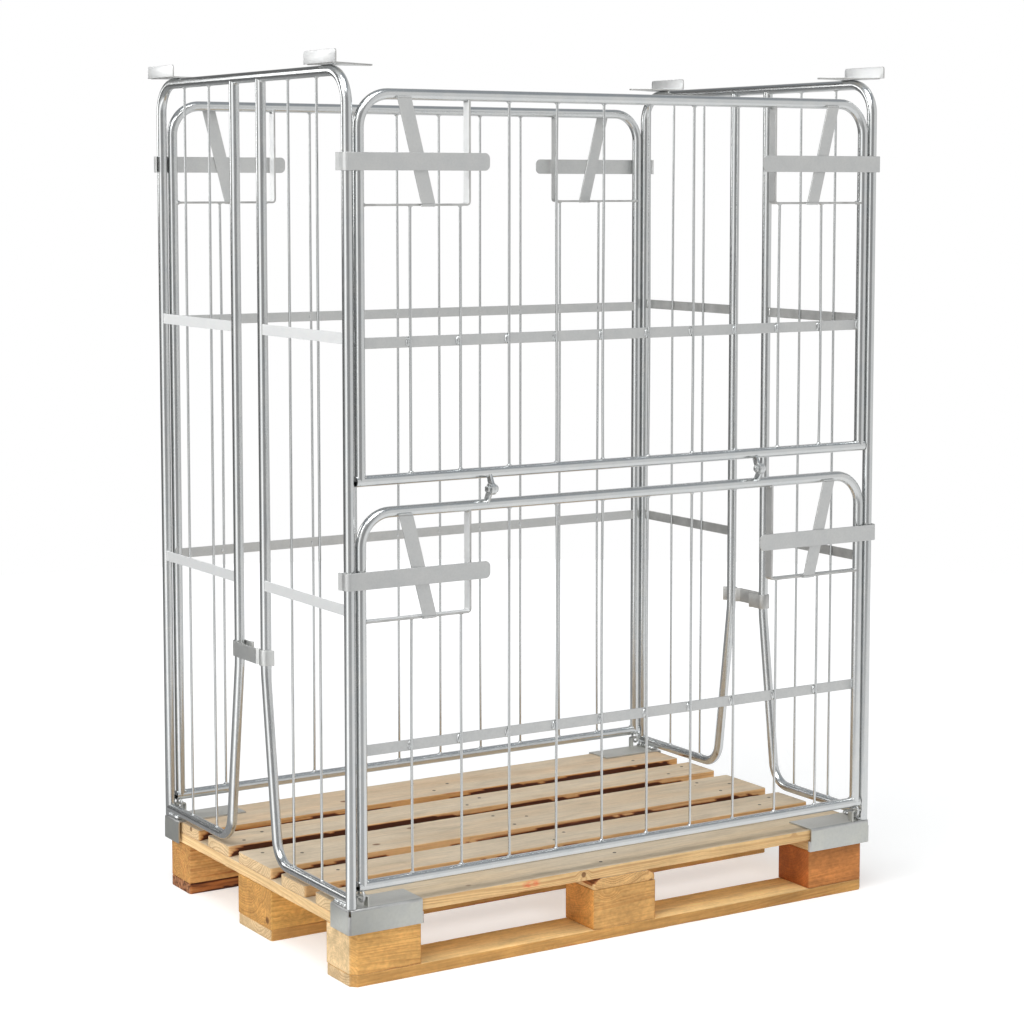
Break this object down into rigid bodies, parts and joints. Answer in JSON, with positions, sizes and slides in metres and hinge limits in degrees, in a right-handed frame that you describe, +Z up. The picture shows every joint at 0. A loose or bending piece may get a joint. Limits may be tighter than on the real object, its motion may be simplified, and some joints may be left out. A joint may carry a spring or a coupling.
{
  "type": "wooden pallet with mesh collar",
  "caption": "Flat wooden four-way pallet with a lift-off tubular mesh collar: side frames on corner shoes, a split drop front and a drop rear with twisting strap latches.",
  "frame": {"origin": "middle of the pallet's underside, on the floor", "axes": "+Z up, +X along the pallet's long side, -Y out of the split front"},
  "size_m": [1.248, 0.8361, 1.6883],
  "materials": {
    "wood": "raw sawn softwood",
    "steel": "bright zinc plated"
  },
  "bodies": {
    "pallet": {"deck_board_1": "wood", "deck_board_2": "wood", "deck_board_3": "wood", "deck_board_4": "wood", "deck_board_5": "wood", "cross_board_left": "wood", "cross_board_middle": "wood", "cross_board_right": "wood", "skid_board_front": "wood", "skid_board_middle": "wood", "skid_board_rear": "wood", "block_front_left": "wood", "block_front_middle": "wood", "block_front_right": "wood", "block_middle_left": "wood", "block_middle_middle": "wood", "block_middle_right": "wood", "block_rear_left": "wood", "block_rear_middle": "wood", "block_rear_right": "wood"},
    "collar": {"side_frame_left": "steel", "side_frame_right": "steel", "corner_shoe_front_left": "steel", "corner_shoe_front_right": "steel", "corner_shoe_rear_left": "steel", "corner_shoe_rear_right": "steel", "stack_guide_front_left": "steel", "stack_guide_front_right": "steel", "stack_guide_rear_left": "steel", "stack_guide_rear_right": "steel"},
    "front_lower": {"front_lower_panel": "steel", "panel_hook_front_left": "steel", "panel_hook_front_right": "steel", "fold_lug_lower_left": "steel", "fold_lug_lower_right": "steel", "fold_bolt_left": "steel", "fold_bolt_right": "steel"},
    "front_upper": {"front_upper_panel": "steel", "fold_lug_upper_left": "steel", "fold_lug_upper_right": "steel"},
    "rear": {"rear_panel": "steel", "panel_hook_rear_left": "steel", "panel_hook_rear_right": "steel"},
    "latch_upper_left": {"latch_bar_upper_left": "steel", "latch_strap_upper_left": "steel"},
    "latch_upper_right": {"latch_bar_upper_right": "steel", "latch_strap_upper_right": "steel"},
    "latch_lower_left": {"latch_bar_lower_left": "steel", "latch_strap_lower_left": "steel"},
    "latch_lower_right": {"latch_bar_lower_right": "steel", "latch_strap_lower_right": "steel"},
    "latch_rear_left": {"latch_bar_rear_left": "steel", "latch_strap_rear_left": "steel"},
    "latch_rear_right": {"latch_bar_rear_right": "steel", "latch_strap_rear_right": "steel"},
    "clip_left": {"side_clip_left": "steel"},
    "clip_right": {"side_clip_right": "steel"}
  },
  "joints": [
    {"name": "collar_lift", "type": "slide", "parent": "pallet", "child": "collar", "axis": [0, 0, 1], "range_m": [0, 0.15]},
    {"name": "front_drop", "type": "hinge", "parent": "collar", "child": "front_lower", "pos_m": [0, -0.396, 0.1685], "axis": [1, 0, 0], "range_deg": [0, 85]},
    {"name": "front_fold", "type": "hinge", "parent": "front_lower", "child": "front_upper", "pos_m": [0, -0.4125, 0.895], "axis": [1, 0, 0], "range_deg": [0, 175]},
    {"name": "rear_drop", "type": "hinge", "parent": "collar", "child": "rear", "pos_m": [0, 0.396, 0.1685], "axis": [-1, 0, 0], "range_deg": [0, 90]},
    {"name": "latch_twist_upper_left", "type": "hinge", "parent": "front_upper", "child": "latch_upper_left", "pos_m": [-0.45934, -0.4078, 1.4925], "axis": [-0.2495, 0, 0.9684], "range_deg": [0, 2.9], "stiffness_Nm_per_rad": 15},
    {"name": "latch_twist_upper_right", "type": "hinge", "parent": "front_upper", "child": "latch_upper_right", "pos_m": [0.45934, -0.4078, 1.4925], "axis": [-0.2495, 0, -0.9684], "range_deg": [0, 2.9], "stiffness_Nm_per_rad": 15},
    {"name": "latch_twist_lower_left", "type": "hinge", "parent": "front_lower", "child": "latch_lower_left", "pos_m": [-0.45934, -0.4078, 0.746], "axis": [-0.2495, 0, 0.9684], "range_deg": [0, 2.9], "stiffness_Nm_per_rad": 15},
    {"name": "latch_twist_lower_right", "type": "hinge", "parent": "front_lower", "child": "latch_lower_right", "pos_m": [0.45934, -0.4078, 0.746], "axis": [-0.2495, 0, -0.9684], "range_deg": [0, 2.9], "stiffness_Nm_per_rad": 15},
    {"name": "latch_twist_rear_left", "type": "hinge", "parent": "rear", "child": "latch_rear_left", "pos_m": [-0.45934, 0.4078, 1.4925], "axis": [0.2495, 0, -0.9684], "range_deg": [0, 2.9], "stiffness_Nm_per_rad": 15},
    {"name": "latch_twist_rear_right", "type": "hinge", "parent": "rear", "child": "latch_rear_right", "pos_m": [0.45934, 0.4078, 1.4925], "axis": [0.2495, 0, 0.9684], "range_deg": [0, 2.9], "stiffness_Nm_per_rad": 15},
    {"name": "clip_swing_left", "type": "hinge", "parent": "collar", "child": "clip_left", "pos_m": [-0.5985, 0.057, 0.553], "axis": [0, 0, -1], "range_deg": [0, 110]},
    {"name": "clip_swing_right", "type": "hinge", "parent": "collar", "child": "clip_right", "pos_m": [0.5985, -0.057, 0.553], "axis": [0, 0, -1], "range_deg": [0, 110]}
  ]
}
